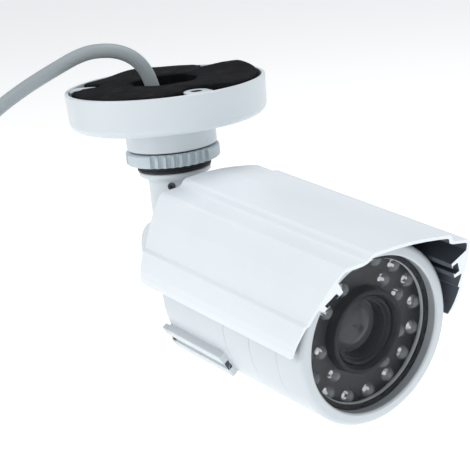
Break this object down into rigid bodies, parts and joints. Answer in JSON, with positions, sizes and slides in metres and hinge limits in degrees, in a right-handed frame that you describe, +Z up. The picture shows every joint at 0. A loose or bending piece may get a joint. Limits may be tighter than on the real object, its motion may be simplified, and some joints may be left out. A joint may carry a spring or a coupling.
{
  "type": "bullet security camera",
  "caption": "Outdoor bullet security camera with a sliding sunshield, infrared lamps behind a round window, and a ceiling bracket that pans, tilts and rolls.",
  "frame": {"origin": "centre of the bracket base's mounting rim, in the plane that meets the ceiling", "axes": "+Z up, out of the mounting rim into the ceiling and along the pan axis; +X horizontal, the way the barrel points; +Y to the barrel's left, along the tilt axis"},
  "size_m": [0.1894, 0.1374, 0.232],
  "materials": {
    "white_paint": "satin white powder coat over die-cast aluminium",
    "white_shield": "satin white powder coat over extruded aluminium",
    "grey_ring": "matte grey moulded plastic",
    "foam": "matte black closed-cell foam",
    "black_rubber": "matte black rubber",
    "cable_grey": "satin light grey PVC",
    "black_plastic": "matte black moulded plastic",
    "window_glass": "polished clear glass",
    "lens_glass": "coated optical glass",
    "filter_glass": "coated infrared cut filter",
    "lamp_epoxy": "clear moulded epoxy",
    "circuit_board": "green solder mask",
    "lamp_board_dark": "black solder mask",
    "chip_black": "matte epoxy package",
    "steel": "zinc plated steel",
    "dark_steel": "black oxide steel",
    "brass_nickel": "nickel plated brass",
    "cell_sensor": "clear resin over a dark cell"
  },
  "bodies": {
    "base": {"mount_base": "white_paint", "foam_gasket": "foam", "cable_grommet": "black_rubber", "bracket_cable": "cable_grey", "cable_tube": "cable_grey", "cable_coil": "cable_grey", "cable_tie": "black_plastic", "cable_splitter": "black_rubber", "video_lead": "black_rubber", "power_lead": "black_rubber", "video_connector": "brass_nickel", "power_connector": "black_plastic"},
    "lock_ring": {"lock_ring": "grey_ring"},
    "arm": {"swivel_arm": "white_paint", "arm_set_screw": "dark_steel", "swivel_seal": "black_rubber", "swivel_washer": "black_plastic", "swivel_nut": "brass_nickel"},
    "yoke": {"rear_yoke": "white_paint", "tilt_bolt": "steel", "tilt_nut": "steel", "tilt_washers": "black_plastic", "roll_nut": "steel"},
    "barrel": {"rear_cap": "white_paint", "rear_housing": "white_paint", "middle_sleeve": "white_paint", "front_sleeve": "white_paint", "front_bezel": "white_paint", "sleeve_orings": "black_rubber", "cap_screws": "steel", "front_glass": "window_glass", "glass_gasket": "black_rubber", "lamp_board": "lamp_board_dark", "infrared_lamps": "lamp_epoxy", "lamp_holder": "black_plastic", "light_sensor": "cell_sensor", "lens_shroud": "black_rubber", "lens_barrel": "black_plastic", "lens_front_element": "lens_glass", "lens_rear_element": "lens_glass", "lens_mount": "black_plastic", "lens_filter": "filter_glass", "sensor_board": "circuit_board", "processor_board": "circuit_board", "power_board": "circuit_board", "image_sensor": "chip_black", "processor_chips": "chip_black", "power_parts": "chip_black", "board_standoffs": "brass_nickel", "board_screws": "steel", "chassis_ring": "black_plastic", "lamp_harness": "black_rubber", "board_plug": "lamp_epoxy", "inner_lead": "cable_grey"},
    "shield": {"sunshield": "white_shield", "shield_screw": "dark_steel"},
    "focus": {"focus_ring": "black_plastic"},
    "zoom": {"zoom_ring": "black_plastic"}
  },
  "joints": [
    {"name": "ring_turn", "type": "hinge", "parent": "base", "child": "lock_ring", "pos_m": [0, 0, 0], "axis": [0, 0, 1], "range_deg": [-180, 180]},
    {"name": "pan", "type": "hinge", "parent": "base", "child": "arm", "pos_m": [0, 0, 0], "axis": [0, 0, 1], "range_deg": [-95, 175]},
    {"name": "tilt", "type": "hinge", "parent": "arm", "child": "yoke", "pos_m": [0, 0, -0.0659], "axis": [0, 1, 0], "range_deg": [-6.8, 83.2]},
    {"name": "roll", "type": "hinge", "parent": "yoke", "child": "barrel", "pos_m": [0, 0, -0.0659], "axis": [0.993, 0, -0.1184], "range_deg": [-175, 175]},
    {"name": "shield_slide", "type": "slide", "parent": "barrel", "child": "shield", "axis": [0.993, 0, -0.1184], "range_m": [-0.003, 0.015]},
    {"name": "focus", "type": "hinge", "parent": "barrel", "child": "focus", "pos_m": [0, 0, -0.0659], "axis": [0.993, 0, -0.1184], "range_deg": [-30, 30]},
    {"name": "zoom", "type": "hinge", "parent": "barrel", "child": "zoom", "pos_m": [0, 0, -0.0659], "axis": [0.993, 0, -0.1184], "range_deg": [-30, 30]}
  ]
}
